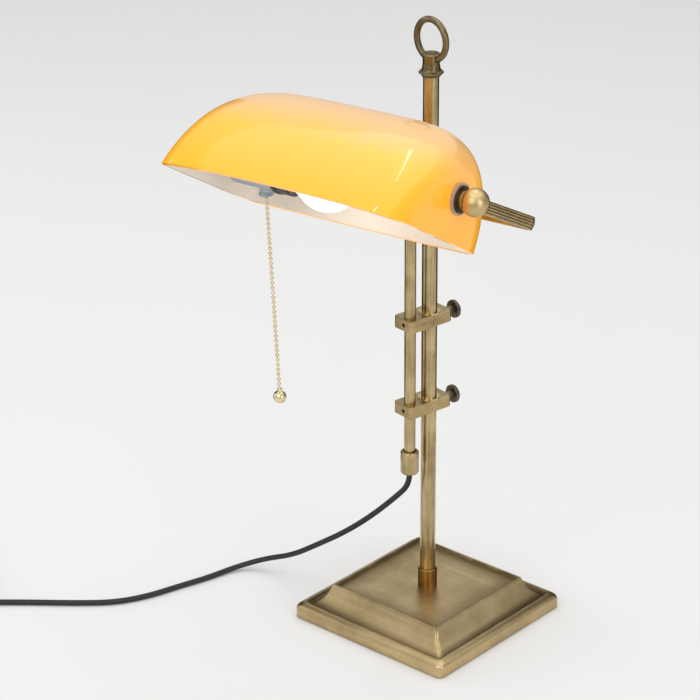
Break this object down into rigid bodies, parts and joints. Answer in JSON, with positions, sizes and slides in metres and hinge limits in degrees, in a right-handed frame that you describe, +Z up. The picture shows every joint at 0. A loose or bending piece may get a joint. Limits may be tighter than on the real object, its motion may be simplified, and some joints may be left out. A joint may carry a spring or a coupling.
{
  "type": "banker desk lamp",
  "caption": "Banker desk lamp: square moulded base, post with ring finial, sliding clamp blocks and rod, reeded U yoke, tilting amber glass shade, pull chain and coiled mains lead.",
  "frame": {"origin": "centre of the base's underside, under the main post's axis", "axes": "+Z up along the main post, -Y towards the front where the shade opens, +X to the lamp's right"},
  "size_m": [0.5787, 0.3742, 0.5551],
  "materials": {
    "antique_brass": "lacquered, brushed lengthwise, darkened in the recesses",
    "aged_dark_brass": "dark patina",
    "bright_brass": "polished and lacquered",
    "dark_bronze": "blackened bronze",
    "cast_ballast": "rough casting",
    "zinc_steel": "zinc plated",
    "grey_enamel": "satin stove enamel",
    "black_bakelite": "moulded phenolic",
    "insulator_ceramic": "glazed",
    "amber_glass": "amber cased over opal white",
    "clear_vinyl": "clear soft vinyl",
    "lamp_glass": "frosted white",
    "lamp_cap_metal": "rolled thread",
    "black_cord": "matt sheath",
    "green_felt": "pressed wool felt"
  },
  "bodies": {
    "base": {"base_cover": "antique_brass", "base_felt": "green_felt", "base_ballast": "cast_ballast", "base_washer": "zinc_steel", "base_nut": "zinc_steel", "base_spacer": "zinc_steel", "post_nipple": "zinc_steel", "main_post": "antique_brass", "foot_collar": "antique_brass", "finial_collar": "antique_brass", "finial_ring": "antique_brass", "cord_lead": "black_cord", "cord_tail": "black_cord", "cord_coil": "black_cord", "coil_tie": "black_bakelite", "plug_relief": "black_bakelite", "plug_body": "black_bakelite", "plug_pins": "zinc_steel"},
    "liners": {"upper_liner": "bright_brass", "lower_liner": "bright_brass"},
    "carriage": {"upper_clamp_block": "antique_brass", "lower_clamp_block": "antique_brass", "clamp_grub_screws": "aged_dark_brass", "cord_rod": "antique_brass", "rod_cap": "antique_brass", "cap_set_screw": "aged_dark_brass", "cord_grip": "black_bakelite", "knuckle_fork": "antique_brass", "knuckle_screw": "aged_dark_brass"},
    "upper_thumbscrew": {"upper_thumbscrew": "dark_bronze"},
    "lower_thumbscrew": {"lower_thumbscrew": "dark_bronze"},
    "yoke": {"yoke_frame": "antique_brass", "knuckle_tongue": "antique_brass", "left_disc": "aged_dark_brass", "right_disc": "aged_dark_brass", "right_stud": "zinc_steel", "right_nut": "zinc_steel", "left_nipple": "zinc_steel", "holder_bracket": "grey_enamel", "holder_stub": "zinc_steel", "holder_cap": "grey_enamel", "holder_body": "grey_enamel", "holder_ring": "black_bakelite", "holder_insulator": "insulator_ceramic", "thread_shell": "bright_brass", "centre_contact": "bright_brass", "lamp_cap": "lamp_cap_metal", "lamp_bulb": "lamp_glass", "switch_bell": "aged_dark_brass"},
    "shade": {"shade_glass": "amber_glass", "left_outer_washer": "clear_vinyl", "right_outer_washer": "clear_vinyl", "left_inner_washer": "clear_vinyl", "right_inner_washer": "clear_vinyl"},
    "left_ball_knob": {"left_ball_knob": "antique_brass"},
    "right_ball_knob": {"right_ball_knob": "antique_brass"},
    "switch_plunger": {"switch_plunger": "zinc_steel"},
    "pull_chain": {"pull_chain": "bright_brass", "pull_ball": "bright_brass"}
  },
  "joints": [
    {"name": "height_slide", "type": "slide", "parent": "base", "child": "liners", "axis": [0, 0, 1], "range_m": [-0.06, 0.1], "deforming": ["cord_lead"]},
    {"name": "post_swivel", "type": "hinge", "parent": "liners", "child": "carriage", "pos_m": [0, 0, 0.25], "axis": [0, 0, 1], "range_deg": [-90, 90], "deforming": ["cord_lead"]},
    {"name": "upper_screw_turn", "type": "hinge", "parent": "carriage", "child": "upper_thumbscrew", "pos_m": [0.0033, 0.01973, 0.2885], "axis": [0.165, 0.9863, 0], "range_deg": [0, 720]},
    {"name": "lower_screw_turn", "type": "hinge", "parent": "carriage", "child": "lower_thumbscrew", "pos_m": [0.0033, 0.01973, 0.208], "axis": [0.165, 0.9863, 0], "range_deg": [0, 720]},
    {"name": "yoke_tilt", "type": "hinge", "parent": "carriage", "child": "yoke", "pos_m": [-0.00357, -0.0213, 0.38603], "axis": [0.9934, 0.1149, 0], "range_deg": [-15, 35]},
    {"name": "shade_tilt", "type": "hinge", "parent": "yoke", "child": "shade", "pos_m": [0.00887, -0.12879, 0.4596], "axis": [0.9934, 0.1149, 0], "range_deg": [-10, 45]},
    {"name": "left_knob_turn", "type": "hinge", "parent": "yoke", "child": "left_ball_knob", "pos_m": [-0.12042, -0.14375, 0.4596], "axis": [-0.9934, -0.1149, 0], "range_deg": [0, 720]},
    {"name": "right_knob_turn", "type": "hinge", "parent": "yoke", "child": "right_ball_knob", "pos_m": [0.13816, -0.11383, 0.4596], "axis": [0.9934, 0.1149, 0], "range_deg": [0, 720]},
    {"name": "switch_pull", "type": "slide", "parent": "yoke", "child": "switch_plunger", "axis": [0, 0, -1], "range_m": [0, 0.005], "stiffness_N_per_m": 400, "springref_m": -0.001},
    {"name": "chain_swing", "type": "hinge", "parent": "switch_plunger", "child": "pull_chain", "pos_m": [-0.06017, -0.13677, 0.4276], "axis": [0.9934, 0.1149, 0], "range_deg": [-35, 15]}
  ],
  "couplings": [
    {"joint": "chain_swing", "follows": "yoke_tilt", "ratio": -1}
  ]
}
